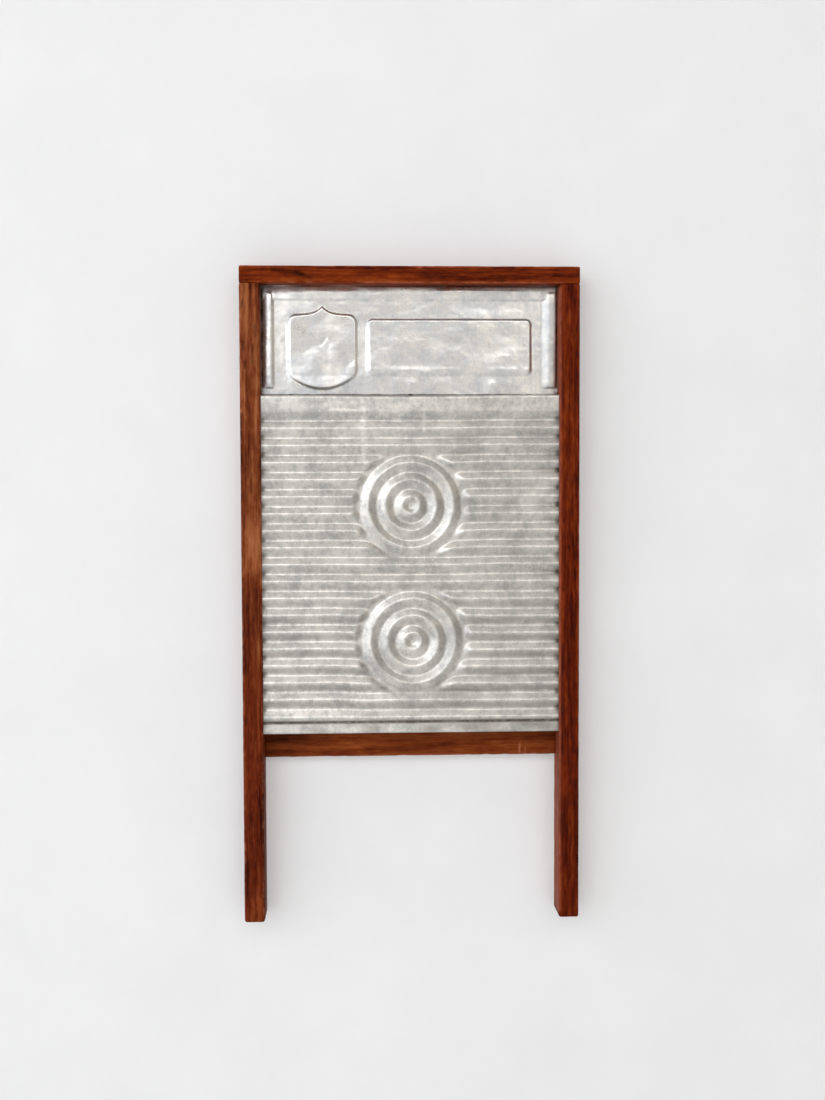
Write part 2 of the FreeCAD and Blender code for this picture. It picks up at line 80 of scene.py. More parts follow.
# Head sheet; BEADS are cross sections, as (x, height) in millimetres
HEAD_THICKNESS = 0.4 * MM
HEAD_GROUND_Y = head_high.y - HEAD_THICKNESS
BAND_STEP_Z = top_low.z - 13.4 * MM
BAND_HEIGHT = 1.2 * MM
BAND_SINK = 0.55                # the share of its height that the band loses at the top rail
BAND_SINK_REACH = 9 * MM
PANEL_HEIGHT = 1.8 * MM
WIDE_BEVEL = 3.8 * MM
NARROW_BEVEL = 2.2 * MM
BEVEL_BLEND = 0.45 * MM
BEADS = (((-138.5, 0.0), (-134.0, 1.6), (-130.0, 2.3), (-128.2, 2.3), (-126.2, 0.0)),
         ((122.4, 0.0), (124.6, 0.4), (129.8, 2.0), (132.0, 2.2), (136.0, 2.1), (138.4, 1.5)))
BEAD_Z = (498.5 * MM, 589.0 * MM)
BEAD_END = 8.0 * MM
BEAD_ROUNDING = 1.3 * MM
BEAD_BLEND = 0.2 * MM
SHIELD_CENTRE = (-81.5 * MM, 536.0 * MM)
SHIELD_HALF = (31.75 * MM, 38.1 * MM)
SHIELD_FOOT_RISE = 1.0 * MM
SHIELD_FOOT_REACH = 11 * MM
PLATE_CENTRE = (36.8 * MM, 537.0 * MM)
PLATE_HALF = (76.2 * MM, 25.4 * MM)
PLATE_CORNER = 4.5 * MM
PLATE_RIDGE = 0.25 * MM         # a low ridge along the plate's foot
HEAD_COLUMNS = 431
HEAD_ROWS = 161

# Marks placed one by one, in millimetres. A stroke says start x and z, end x and z, width and strength, and
# a spot says x, z, radius and strength. The strength of a dent is its height.
RUB_DENT_STROKES = ((-88, 483.5, -58, 481, 4.0, -0.3), (-62, 482, -40, 480, 6.0, -0.5),
                    (-132, 185, -133.5, 175, 1.2, -0.6))
RUB_DENT_SPOTS = ((62, 484, 6, -0.4), (97, 356, 7, -0.7), (40, 357, 5, -0.6), (-113, 413, 3, -0.4))
RUB_SCOURED_STROKES = ((-45, 490, -43, 424, 2.8, 1.0), (13, 492, 12, 455, 1.4, 0.7),
                       (-7, 447, -12, 438, 4.0, 0.5), (46, 354, 66, 351, 2.2, 0.5),
                       (-117, 412, -112, 402, 3.0, 0.5), (-120, 486, -96, 480, 5.0, 0.4),
                       (-82, 483, -48, 485, 2.4, 0.9))
HEAD_DENT_STROKES = ((-84, 538, -78, 545, 1.8, -0.25), (-68, 495, -49, 524, 4, 0.35),
                     (-110, 587, -48, 588, 3, 0.35), (24, 589, 96, 588, 2, 0.3))
HEAD_DENT_SPOTS = ((78, 541, 6, 0.3), (85, 535, 5, -0.35), (91, 529, 4, 0.2), (77, 503, 3, 0.55),
                   (2, 503, 4, 0.35), (-70, 529, 8, 0.5))
HEAD_SCOURED_STROKES = ((-44, 560, -42, 512, 5.0, 0.5), (-120, 588, -60, 586, 4.0, 0.9),
                        (-121, 575, -119, 515, 7.0, 0.8), (-116, 578, -92, 578, 5.0, 0.9))


# ---------------------------------------------------------------- formulas

def smoothstep(low, high, value):
    """0 below low, 1 above high and a smooth S between; low may be the larger."""
    share = np.clip((value - low) / (high - low), 0, 1)
    return share * share * (3 - 2 * share)


def soft_noise(u, v, seed):
    """Smooth noise from -1 to 1 over a plane; u and v count cells."""
    table = np.random.default_rng(seed).uniform(-1, 1, (NOISE_CELLS, NOISE_CELLS))
    cell_u = np.floor(u).astype(int)
    cell_v = np.floor(v).astype(int)
    share_u = smoothstep(0, 1, u - cell_u)
    share_v = smoothstep(0, 1, v - cell_v)
    columns = [(cell_u + step) % NOISE_CELLS for step in (0, 1)]
    rows = [(cell_v + step) % NOISE_CELLS for step in (0, 1)]
    corners = [table[column, row] for column in columns for row in rows]
    low = corners[0] * (1 - share_v) + corners[1] * share_v
    high = corners[2] * (1 - share_v) + corners[3] * share_v
    return low * (1 - share_u) + high * share_u


def bump(x, z, centre_x, centre_z, radius, height):
    """A round dent or pimple."""
    distance = ((x - centre_x) ** 2 + (z - centre_z) ** 2) / radius ** 2
    return height * np.exp(-distance)


def fold_line(x, z, start, end, width, height):
    """A soft straight fold between two points, fading out at its ends."""
    along = np.array(end) - np.array(start)
    length = np.hypot(*along)
    along = along / length
    run = (x - start[0]) * along[0] + (z - start[1]) * along[1]
    aside = (z - start[1]) * along[0] - (x - start[0]) * along[1]
    fade = smoothstep(-width, width, run) * smoothstep(length + width, length - width, run)
    return height * fade * np.exp(-(aside / width) ** 2)


def strokes(x, z, table):
    """The summed strength of the soft straight marks in a table."""
    total = np.zeros_like(x)
    for start_x, start_z, end_x, end_z, width, strength in table:
        start = (start_x * MM, start_z * MM)
        end = (end_x * MM, end_z * MM)
        total += fold_line(x, z, start, end, width * MM, strength)
    return total


def spots(x, z, table):
    """The summed strength of the soft round marks in a table."""
    total = np.zeros_like(x)
    for centre_x, centre_z, radius, strength in table:
        total += bump(x, z, centre_x * MM, centre_z * MM, radius * MM, strength)
    return total


# ---------------------------------------------------------------- rubbing sheet shape

def ridge_profile(distance):
    """Height of the ridges above their valleys: round crests and valleys joined by straight slopes."""
    spread = 4 * CREST_RADIUS - RIDGE_HEIGHT
    # half_tangent is the tangent of half the slopes' angle
    half_tangent = (PITCH - math.sqrt(PITCH ** 2 - 4 * RIDGE_HEIGHT * spread)) / (2 * spread)
    slope = 2 * math.atan(half_tangent)
    arc = CREST_RADIUS * math.sin(slope)
    drop = CREST_RADIUS - CREST_RADIUS * math.cos(slope)
    near = np.clip(distance, 0, arc)
    far = np.clip(PITCH / 2 - distance, 0, arc)
    crest = RIDGE_HEIGHT - CREST_RADIUS + np.sqrt(CREST_RADIUS ** 2 - near ** 2)
    valley = CREST_RADIUS - np.sqrt(CREST_RADIUS ** 2 - far ** 2)
    straight = RIDGE_HEIGHT - drop - (distance - arc) * math.tan(slope)
    return np.where(distance < arc, crest, np.where(distance > PITCH / 2 - arc, valley, straight))


def crest_distance(x, z):
    """Distance from the nearest crest line, straight or round."""
    nearest = np.full_like(x, PITCH)
    reach = (RING_COUNT + 0.5) * PITCH
    for index in range(-1, RIDGE_COUNT):
        crest_z = TOP_RIDGE_Z - index * PITCH
        distance = np.abs(z - crest_z)
        for centre_x, centre_z in MEDALLIONS:
            if abs(crest_z - centre_z) < RING_COUNT * PITCH:
                short = np.clip(reach - np.hypot(x - centre_x, z - centre_z), 0, None)
                distance = np.hypot(distance, short)
        nearest = np.minimum(nearest, distance)
    for centre_x, centre_z in MEDALLIONS:
        radius = np.hypot(x - centre_x, z - centre_z)
        for ring in range(RING_COUNT):
            nearest = np.minimum(nearest, np.abs(radius - (ring + 0.5) * PITCH))
    return np.clip(nearest, 0, PITCH / 2)


def ridge_lift(x, z):
    """How far the pressed ridges have drifted up or down at each side of the medallions."""
    at_left = smoothstep(40 * MM, 75 * MM, -x)
    at_right = smoothstep(40 * MM, 75 * MM, x)
    left_lift = 1.3 * MM * smoothstep(420 * MM, 230 * MM, z)
    right_lift = 0.7 * MM - 1.25 * MM * smoothstep(335 * MM, 290 * MM, z)
    return (at_left * left_lift + at_right * right_lift) * smoothstep(CREASE_Z, CREASE_Z + PITCH, z)


def down_slope_shade(x, z):
    """Painted shade: 1 in the middle of each slope that faces down, 0 on the slopes that face up and in the
    medallions.
    """
    share = np.clip(np.sin(2 * math.pi * (TOP_RIDGE_Z - z + ridge_lift(x, z)) / PITCH), 0, 1)
    for centre_x, centre_z in MEDALLIONS:
        radius = np.hypot(x - centre_x, z - centre_z)
        share = share * smoothstep(RING_COUNT * PITCH, (RING_COUNT + 0.7) * PITCH, radius)
    return share * (z > CREASE_Z) * (z < TOP_RIDGE_Z + PITCH / 2)


def rub_height(x, z):
    """Relief of the rubbing sheet above its valley plane."""
    height = ridge_profile(crest_distance(x, z - ridge_lift(x, z)))
    band = smoothstep(TOP_RIDGE_Z + PITCH - 0.2 * MM, TOP_RIDGE_Z + PITCH, z)
    height = height * (1 - band) + RIDGE_HEIGHT * band
    crease = ridge_profile(np.array(LAST_RIDGE_Z - CREASE_Z))
    below = np.clip((CREASE_Z - z) / (CREASE_Z - rub_low.z), 0, 1)
    lip = crease + (LIP_RELIEF - crease) * below ** 1.5
    height = np.where(z < CREASE_Z, lip, height)
    for centre_x, centre_z in MEDALLIONS:
        height = height + bump(x, z, centre_x, centre_z, PIP_RADIUS, PIP_HEIGHT)
    return height


def rub_dents(x, z):
    """Wear and dents of the rubbing sheet, in millimetres until the last line.

    None of them stands in front of the crests by more than a hair.
    """
    flat = smoothstep(TOP_RIDGE_Z + PITCH, TOP_RIDGE_Z + 1.2 * PITCH, z)
    dents = (0.20 + 0.15 * flat) * soft_noise(x / 0.035, z / 0.022, 3)
    dents += 0.11 * soft_noise(x / 0.012, z / 0.005, 4)
    dents += 0.03 * soft_noise(x / 0.005, z / 0.0025, 5)
    dents += strokes(x, z, RUB_DENT_STROKES) + spots(x, z, RUB_DENT_SPOTS)
    return np.clip(dents, -0.85, 0.15) * MM


def rub_dirt_and_shade(x, z, relief):
    """How dark the rubbing sheet is painted, from 0 to 1: settled soiling, with painted shade on the
    down-facing slopes, in the crease above the lip and beside the stiles.
    """
    valley = smoothstep(0.45, 0.05, relief / RIDGE_HEIGHT)
    # edge is partly settled soiling, partly painted shade that the stiles cast into the valley ends.
    edge = smoothstep(5.5 * MM, 0.5 * MM, INNER_X - np.abs(x))
    patchy = 0.5 + 0.5 * soft_noise(x / 0.004, z / 0.003, 17)
    dirt_and_shade = edge * (0.08 + 0.72 * valley) * (0.6 + 0.4 * patchy)
    # The sheet is painted darker towards the right.
    rightward_darkening = smoothstep(-30 * MM, 80 * MM, x)
    streaky = smoothstep(0.1, 0.9, soft_noise(x / 0.045, z / PITCH, 18))
    at_right = smoothstep(0, 60 * MM, x)
    lower_half = smoothstep(330 * MM, 260 * MM, z)
    dirt_and_shade += 0.13 * rightward_darkening
    dirt_and_shade += 0.42 * valley * streaky * (0.35 + 0.65 * at_right)
    # Painted shade on the middle of the down-facing slopes, in the lower half.
    dirt_and_shade += 0.22 * down_slope_shade(x, z) * lower_half
    for centre_x, centre_z in MEDALLIONS:
        offset = np.hypot(x - centre_x, z - centre_z) / PITCH
        ring = np.exp(-((offset - RING_COUNT - 0.28) / 0.16) ** 2)
        left_side = smoothstep(0.3, -0.6, (x - centre_x) / PITCH / RING_COUNT)
        dirt_and_shade += 0.55 * ring * left_side * patchy
    lip = smoothstep(0, 3 * MM, CREASE_Z - z)
    dirt_and_shade += 0.25 * lip * (1 + soft_noise(x / 0.018, z / 0.005, 21))
    # Painted shade in the crease where the lowest slope meets the lip.
    crease = smoothstep(2.3 * MM, 0.9 * MM, np.abs(z - CREASE_Z - 0.4 * MM))
    dirt_and_shade += crease * (0.75 + 0.25 * soft_noise(x / 0.02, z / 0.01, 19))
    return np.clip(dirt_and_shade, 0, 1)


def rub_scuffs(x, z):
    """Where the rubbing sheet is scoured bright, from 0 to 1: upright streaks and patches."""
    ragged = 0.55 + 0.45 * soft_noise(x / 0.003, z / 0.003, 29)
    broad = 0.45 * smoothstep(0.35, 0.9, soft_noise(x / 0.028, z / 0.020, 30))
    return np.clip((strokes(x, z, RUB_SCOURED_STROKES) + broad) * ragged, 0, 1)


def write_layer(mesh, key, values):
    """Keeps one number per point in a mesh, for the materials to read."""
    layer = mesh.attributes.new(key, "FLOAT", "POINT")
    layer.data.foreach_set("value", values.astype(np.float32))


def sheet_mesh(name, surface, thickness, attributes):
    """A closed thin sheet. surface is rows x columns x 3, seen from its front."""
    across = np.gradient(surface, axis=1)
    upward = np.gradient(surface, axis=0)
    normal = np.cross(across, upward)
    normal /= np.linalg.norm(normal, axis=2, keepdims=True)
    rows, columns = surface.shape[:2]
    points = np.concatenate([surface.reshape(-1, 3), (surface - normal * thickness).reshape(-1, 3)])
    index = np.arange(rows * columns).reshape(rows, columns)
    corners = [index[:-1, :-1], index[:-1, 1:], index[1:, 1:], index[1:, :-1]]
    front = np.stack(corners, axis=-1).reshape(-1, 4)
    back = front[:, ::-1] + rows * columns
    rim = np.concatenate([index[0, :], index[1:, -1], index[-1, -2::-1], index[-2:0:-1, 0]])
    after = np.roll(rim, -1)
    edge = np.stack([after, rim, rim + rows * columns, after + rows * columns], axis=-1)
    mesh = bpy.data.meshes.new(name)
    mesh.from_pydata(points.tolist(), [], np.concatenate([front, back, edge]).tolist())
    mesh.shade_smooth()
    for key, values in attributes.items():
        write_layer(mesh, key, np.tile(values.ravel(), 2))
    piece = bpy.data.objects.new(name, mesh)
    bpy.context.collection.objects.link(piece)
    return piece


def rub_columns():
    """Column places across the sheet: close together at the medallions, wider at the sides."""
    reach = -rub_low.x
    middle = (RING_COUNT + 1) * PITCH
    side = np.linspace(-reach, -middle, SIDE_COLUMNS, endpoint=False)
    centre = np.linspace(-middle, middle, CENTRE_COLUMNS)
    return np.concatenate([side, centre, -side[::-1]])


def ledge_sag(x):
    """How far the folded edge lies above the CAD sheet's: 0 at the right end and negative elsewhere."""
    dip = 0.8 * MM * np.exp(-((x + 5 * MM) / (60 * MM)) ** 2)
    right_end = LEDGE_DROP * smoothstep(50 * MM, 140 * MM, x)
    return right_end - dip - LEDGE_DROP


def ledge_rows(columns, edge):
    """Rows of points that turn back from the wall's upper edge and run to the CAD sheet's rear edge."""
    x, angle = np.meshgrid(columns, np.linspace(0, math.pi / 2, FOLD_ROWS + 1)[1:])
    fold_y = edge[:, 1] + FOLD_RADIUS * (1 - np.cos(angle))
    fold_z = edge[:, 2] + FOLD_RADIUS * np.sin(angle)
    fold = np.stack([x, fold_y, fold_z], axis=-1)
    x, share = np.meshgrid(columns, np.linspace(0, 1, FLANGE_ROWS + 1)[1:])
    flange_y = fold_y[-1] * (1 - share) + rub_high.y * share
    flange_z = fold_z[-1] * (1 - share) + rub_high.z * share
    flange = np.stack([x, flange_y, flange_z], axis=-1)
    return np.concatenate([fold, flange])


def make_rub_sheet():
    """The corrugated sheet with its medallions, its fold over the ledge and its lower lip."""
    columns = rub_columns()
    band_top = rub_high.z - FOLD_RADIUS
    x, z = np.meshgrid(columns, np.linspace(rub_low.z, band_top, RUB_ROWS))
    relief = rub_height(x, z)
    y = rub_low.y + RIDGE_HEIGHT - relief - rub_dents(x, z)
    sag = ledge_sag(x) * smoothstep(TOP_RIDGE_Z + PITCH, band_top, z)
    wall = np.stack([x, y, z + sag], axis=-1)
    surface = np.concatenate([wall, ledge_rows(columns, wall[-1])])
    dirt_and_shade = np.zeros(surface.shape[:2])
    dirt_and_shade[:RUB_ROWS] = rub_dirt_and_shade(wall[..., 0], wall[..., 2], relief)
    # The fold's top and the flange are painted dark: partly soiling on the ledge, partly painted shade
    # along the seam with the head sheet.
    dirt_and_shade[RUB_ROWS + FOLD_ROWS - 2:] = 0.7
    scuffs = rub_scuffs(surface[..., 0], surface[..., 2])
    return sheet_mesh("rubbing_sheet", surface, SHEET_THICKNESS, {"dirt_and_shade": dirt_and_shade, "scuffs": scuffs})


# ---------------------------------------------------------------- head sheet shape

def soft_min(a, b, blend):
    """The smaller of two lengths, rounded where they are nearly equal."""
    share = np.clip(0.5 + (b - a) / (2 * blend), 0, 1)
    return b * (1 - share) + a * share - blend * share * (1 - share)


def soft_max(a, b, blend):
    """The larger of two lengths, rounded where they are nearly equal."""
    return -soft_min(-a, -b, blend)


def inside_rectangle(x, z, centre, half, corner):
    """How far inside a round-cornered rectangle a point lies."""
    beyond_x = np.abs(x - centre[0]) - (half[0] - corner)
    beyond_z = np.abs(z - centre[1]) - (half[1] - corner)
    outside = np.hypot(np.maximum(beyond_x, 0), np.maximum(beyond_z, 0))
    return corner - outside - np.minimum(np.maximum(beyond_x, beyond_z), 0)


def inside_shield(x, z):
    """How far inside the shield a point lies: straight sides, bowed bottom, pointed ogee top."""
    across = np.abs(x - SHIELD_CENTRE[0])
    up = z - SHIELD_CENTRE[1]
    half_x, peak = SHIELD_HALF
    shoulder = 0.80 * peak
    top = shoulder + (peak - shoulder) * np.exp(-across / (0.2 * half_x)) - up
    bow = 0.34 * peak * (across / half_x) ** 2
    bottom = (up + peak - bow) / np.sqrt(1 + (0.68 * peak * across / half_x ** 2) ** 2)
    inside = soft_min(half_x - across, bottom, 5 * MM)
    return soft_min(inside, top, 9 * MM)


def bevel_width(x, z, centre, half, foot_share):
    """The width of a panel's bevel: wide on its left side and, by foot_share, along its foot."""
    left = smoothstep(-0.8 * half[0], -0.95 * half[0], x - centre[0])
    left = left * smoothstep(0.75 * half[1], 0.5 * half[1], z - centre[1])
    foot = foot_share * smoothstep(-0.5 * half[1], -0.85 * half[1], z - centre[1])
    return NARROW_BEVEL + (WIDE_BEVEL - NARROW_BEVEL) * np.maximum(left, foot)


def panel(inside, bevel):
    """A raised panel with straight bevels round its outline, slightly rounded at foot and edge."""
    rise = soft_min(soft_max(inside + bevel / 2, 0, BEVEL_BLEND), bevel, BEVEL_BLEND)
    return PANEL_HEIGHT * rise / bevel


def band_height(z):
    """The raised band along the sheet's top, which sinks again towards the top rail."""
    rise = smoothstep(BAND_STEP_Z - 1.0 * MM, BAND_STEP_Z + 1.2 * MM, z)
    return BAND_HEIGHT * rise * (1 - BAND_SINK * smoothstep(top_low.z - BAND_SINK_REACH, top_low.z, z))


def plate_height(x, z):
    """The raised plate, with a low uneven ridge along its foot."""
    inside = inside_rectangle(x, z, PLATE_CENTRE, PLATE_HALF, PLATE_CORNER)
    height = panel(inside, bevel_width(x, z, PLATE_CENTRE, PLATE_HALF, 0.8))
    above_foot = z - (PLATE_CENTRE[1] - PLATE_HALF[1])
    uneven = 0.5 + 0.5 * soft_noise(x / 0.016, z / 0.1, 9)
    ridge = np.exp(-((above_foot - 4.5 * MM) / (1.9 * MM)) ** 2)
    return height + PLATE_RIDGE * uneven * ridge * (inside > 0)


def shield_height(x, z):
    """The raised shield, which rises a little further towards its foot."""
    inside = inside_shield(x, z)
    height = panel(inside, bevel_width(x, z, SHIELD_CENTRE, SHIELD_HALF, 0.2))
    below_chord = SHIELD_CENTRE[1] - 0.68 * SHIELD_HALF[1] - z
    foot = np.clip(below_chord / SHIELD_FOOT_REACH, 0, 1) * smoothstep(0, 2 * MM, inside)
    return height + SHIELD_FOOT_RISE * foot


def bead_height(x, z, section):
    """An upright bead: its cross section, smoothed, running up the sheet and rounded off at both ends."""
    end = np.clip(np.minimum(z - BEAD_Z[0], BEAD_Z[1] - z) / BEAD_END, 0, 1)
    places, heights = np.array(section).T * MM
    shifts = np.linspace(-BEAD_ROUNDING, BEAD_ROUNDING, 7)
    across = sum(np.interp(x + shift, places, heights, left=0, right=0) for shift in shifts) / len(shifts)
    return across * np.sqrt(1 - (1 - end) ** 2)


def head_height(x, z):
    """Relief of the head sheet above its ground plane."""
    height = band_height(z) + plate_height(x, z) + shield_height(x, z)
    for section in BEADS:
        height = soft_max(height, bead_height(x, z, section), BEAD_BLEND)
    return height


def head_dents(x, z):
    """Handling dents and the soft waviness of thin sheet."""
    dents = 0.6 * soft_noise(x / 0.030, z / 0.018, 11)
    dents += 0.22 * soft_noise(x / 0.011, z / 0.009, 12)
    dents += 0.06 * soft_noise(x / 0.004, z / 0.003, 13)
    dents += strokes(x, z, HEAD_DENT_STROKES) + spots(x, z, HEAD_DENT_SPOTS)
    return dents * MM


def shelf_line(inside):
    """A thin dark line just outside a raised outline."""
    return np.exp(-((inside + 1.2 * MM) / (0.7 * MM)) ** 2)


def head_dirt_and_shade(x, z):
    """How dark the head sheet is painted, from 0 to 1: soiling along its edges, panels and beads, with
    painted shade under the top rail, at the ledge seam, beside the stiles and on the right bead.
    """
    # seam is a painted contact shadow along the ledge and top the painted shadow under the top rail; edge
    # and corner are partly soiling, partly painted shade beside the stiles and in the lower corners.
    seam = smoothstep(1.5 * MM, 0.6 * MM, z - rub_high.z)
    edge = smoothstep(3.5 * MM, 0.3 * MM, INNER_X - np.abs(x))
    corner = edge * smoothstep(12 * MM, 2 * MM, z - rub_high.z)
    top = smoothstep(1.5 * MM, 0, top_low.z - z)
    patchy = 0.6 + 0.4 * soft_noise(x / 0.006, z / 0.006, 23)
    dirt_and_shade = (0.9 * seam + 0.8 * edge + 0.6 * corner + 0.5 * top) * patchy
    plate = inside_rectangle(x, z, PLATE_CENTRE, PLATE_HALF, PLATE_CORNER)
    dirt_and_shade += 0.4 * shelf_line(plate) * smoothstep(0.6, 0.9, (z - PLATE_CENTRE[1]) / PLATE_HALF[1])
    shield = inside_shield(x, z)
    dirt_and_shade += 0.4 * shelf_line(shield) * smoothstep(0.4, 0.7, (z - SHIELD_CENTRE[1]) / SHIELD_HALF[1])
    # The left flank wedge is partly soiling, partly painted shade from the left stile.
    flank_width = 0.4 * MM + 6.6 * MM * smoothstep(510 * MM, 585 * MM, z)
    left_flank = smoothstep(1, 0.2, (x + INNER_X) / flank_width)
    # Painted shade over the right bead, dimming its highlight.
    right_bead_dimming = smoothstep(121 * MM, 124 * MM, x)
    dirt_and_shade += 0.6 * left_flank + 0.2 * right_bead_dimming
    return np.clip(dirt_and_shade, 0, 1)


def head_scuffs(x, z):
    """Where the head sheet is scoured bright, from 0 to 1."""
    broad = 0.6 * smoothstep(0.3, 0.8, soft_noise(x / 0.024, z / 0.020, 33))
    ragged = 0.6 + 0.4 * soft_noise(x / 0.003, z / 0.003, 34)
    return np.clip((strokes(x, z, HEAD_SCOURED_STROKES) + broad) * ragged, 0, 1)


def make_head_sheet():
    """The embossed sheet above the soap ledge."""
    columns = np.linspace(head_low.x, head_high.x, HEAD_COLUMNS)
    rows = np.linspace(head_low.z, head_high.z, HEAD_ROWS)
    x, z = np.meshgrid(columns, rows)
    hidden = smoothstep(top_low.z - 1.5 * MM, top_low.z, z)
    hidden = np.maximum(hidden, smoothstep(INNER_X - 1.5 * MM, INNER_X, np.abs(x)))
    raised = (head_height(x, z) + head_dents(x, z)) * (1 - hidden)
    surface = np.stack([x, HEAD_GROUND_Y - np.maximum(raised, -0.3 * MM), z], axis=-1)
    layers = {"dirt_and_shade": head_dirt_and_shade(x, z), "scuffs": head_scuffs(x, z)}
    return sheet_mesh("embossed_head", surface, HEAD_THICKNESS, layers)


# ---------------------------------------------------------------- worn wood shape

ALONG_X, ALONG_Z = 0, 2         # the axis that a board's fibres follow
FRAME_VOXEL = 0.9 * MM          # the size of the mesh's cells
HIDDEN_VOXEL = 1.2 * MM
ARRIS_REACH = 3.5 * MM
FOOT_CORNER = 2.8 * MM

# Dark stains and bare scuffs on the boards, as strokes; the top rail's long scuff along its lower edge is
# also painted light
STAINS = {
    "top_rail": ((-128, 606, -98, 601, 2.2, 0.7), (-106, 604, -90, 598, 2.0, 0.55),
                 (-50, 602, -34, 601, 3.0, 0.3), (60, 604, 76, 603, 1.2, 0.25)),
    "left_stile": ((-153.5, 541, -153.5, 532, 0.8, 0.7), (-145, 538, -145, 520, 0.9, 0.6),
                   (-152, 523, -152, 515, 0.8, 0.6), (-142.5, 556, -142.5, 544, 0.8, 0.5),
                   (-150, 486, -150, 478, 0.8, 0.4), (-147, 420, -147, 402, 1.0, 0.4),
                   (-145, 330, -145, 130, 1.6, 0.25), (-153, 90, -153, 20, 1.2, 0.2)),
    "right_stile": ((149, 420, 150, 408, 5.0, 0.3), (152, 560, 152, 470, 1.6, 0.2),
                    (146, 120, 146, 30, 1.2, 0.2)),
    "bottom_rail": ((-140, 183, -116, 182, 5.0, 0.45), (-140, 167, -116, 168, 2.2, 0.6),
                    (-132, 172, -96, 173, 9.0, 0.4), (-140, 156, -110, 156, 3.0, 0.35),
                    (64, 180, 96, 180, 1.6, 0.35)),
}
WORN_AND_LIT_MARKS = {
    # The first top_rail stroke is partly bare wear, partly painted light on the rail's lower front edge.
    "top_rail": ((-50, 593.9, 136, 593.9, 0.8, 0.5), (7, 608, 11, 608, 1.2, 0.4)),
    "left_stile": ((-156.5, 478, -156.5, 475, 1.2, 0.8),),
    "right_stile": ((138.6, 590, 138.6, 5, 1.4, 0.4),),
    "bottom_rail": ((104, 162, 103.4, 153, 0.8, 0.8), (109, 158, 109, 153, 0.8, 0.4),
                    (-96, 152, 120, 152, 0.7, 0.25), (40, 172, 100, 174, 3.0, 0.12)),
}


def marks(table, node, x, z):
    """The strength of a board's marks at each point: they never cover its colour altogether."""
    return np.clip(strokes(x, z, table.get(node, ())), 0, 0.9)


def read_points(mesh):
    """The places of a mesh's points, one row for each."""
    points = np.empty(len(mesh.vertices) * 3)
    mesh.vertices.foreach_get("co", points)
    return points.reshape(-1, 3)


def read_normals(mesh):
    """The directions that a mesh's points face, one row for each."""
    normals = np.empty(len(mesh.vertices) * 3)
    mesh.vertex_normals.foreach_get("vector", normals)
    return normals.reshape(-1, 3)


def write_points(mesh, points):
    """Moves a mesh's points."""
    mesh.vertices.foreach_set("co", points.ravel())
    mesh.update()


def fine_skin(node, name, voxel, wear):
    """A copy of a CAD board with a fine even mesh, smoothed until its edges are round."""
    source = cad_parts[node]
    piece = bpy.data.objects.new(name, source.data.copy())
    bpy.context.collection.objects.link(piece)
    remesh = piece.modifiers.new("fine skin", "REMESH")
    remesh.mode = "VOXEL"
    remesh.voxel_size = voxel
    smooth = piece.modifiers.new("worn edges", "SMOOTH")
    smooth.factor = 0.5
    smooth.iterations = wear
    graph = bpy.context.evaluated_depsgraph_get()
    mesh = bpy.data.meshes.new_from_object(piece.evaluated_get(graph))
    piece.modifiers.clear()
    piece.data = mesh
    return piece


def round_feet(points, low, high):
    """Wears the lower corners of an upright round, as seen from the front."""
    middle = (low[0] + high[0]) / 2
    from_side = np.clip(FOOT_CORNER - np.minimum(points[:, 0] - low[0], high[0] - points[:, 0]), 0, None)
    from_foot = np.clip(FOOT_CORNER - (points[:, 2] - low[2]), 0, None)
    reach = np.maximum(np.hypot(from_side, from_foot), FOOT_CORNER)
    pull = 1 - FOOT_CORNER / reach
    points[:, 0] += np.sign(middle - points[:, 0]) * from_side * pull
    points[:, 2] += from_foot * pull


def edge_nearness(points, low, high, sides):
    """1 on a board's long edges, falling to 0 on its faces; sides are the axes across its fibres."""
    gaps = [np.minimum(points[:, axis] - low[axis], high[axis] - points[:, axis]) for axis in sides]
    return 1 - smoothstep(0, ARRIS_REACH, np.hypot(gaps[0], gaps[1]))


def wear_depth(run, turn, arris, seed):
    """How much wood is worn away: slightly uneven faces and chips along the edges.

    run is the place along the fibres and turn the place round the board.
    """
    uneven = soft_noise(run / 0.045, turn / 0.012, seed) * 0.09 * MM
    chips = np.clip(soft_noise(run / 0.009, turn / 0.02, seed + 1) - 0.25, 0, 1) * arris * 0.7 * MM
    return np.abs(uneven) + chips


def marked_faces(points, normals):
    """1 on the faces that carry marks, 0 on a board's back, ends, upper, lower and outer faces."""
    outward = normals[:, 0] * np.sign(points[:, 0])
    turned = np.maximum(np.maximum(normals[:, 1], outward), np.abs(normals[:, 2]))
    return 1 - smoothstep(0.4, 0.9, turned)


def worn_wood(node, name, grain, voxel, wear, seed):
    """A copy of a CAD board with its edges worn round and its faces slightly uneven."""
    piece = fine_skin(node, name, voxel, wear)
    mesh = piece.data
    points = read_points(mesh)
    normals = read_normals(mesh)
    low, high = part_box(node)
    sides = [axis for axis in range(3) if axis != grain]
    arris = edge_nearness(points, low, high, sides)
    turn = points[:, sides[0]] * 1.3 + points[:, sides[1]]
    points -= normals * wear_depth(points[:, grain], turn, arris, seed)[:, None]
    if grain == ALONG_Z:
        round_feet(points, low, high)
    write_points(mesh, points)
    x, z = points[:, 0], points[:, 2]
    facing = marked_faces(points, normals)
    write_layer(mesh, "arris", arris)
    write_layer(mesh, "stain", marks(STAINS, node, x, z) * facing)
    # The bare layer is mostly worn wood, and on the top rail's lower edge also painted light.
    write_layer(mesh, "bare", marks(WORN_AND_LIT_MARKS, node, x, z) * facing)
    mesh.shade_smooth()
    mesh.update()
    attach(piece, "root")
    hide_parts(node)
    return piece


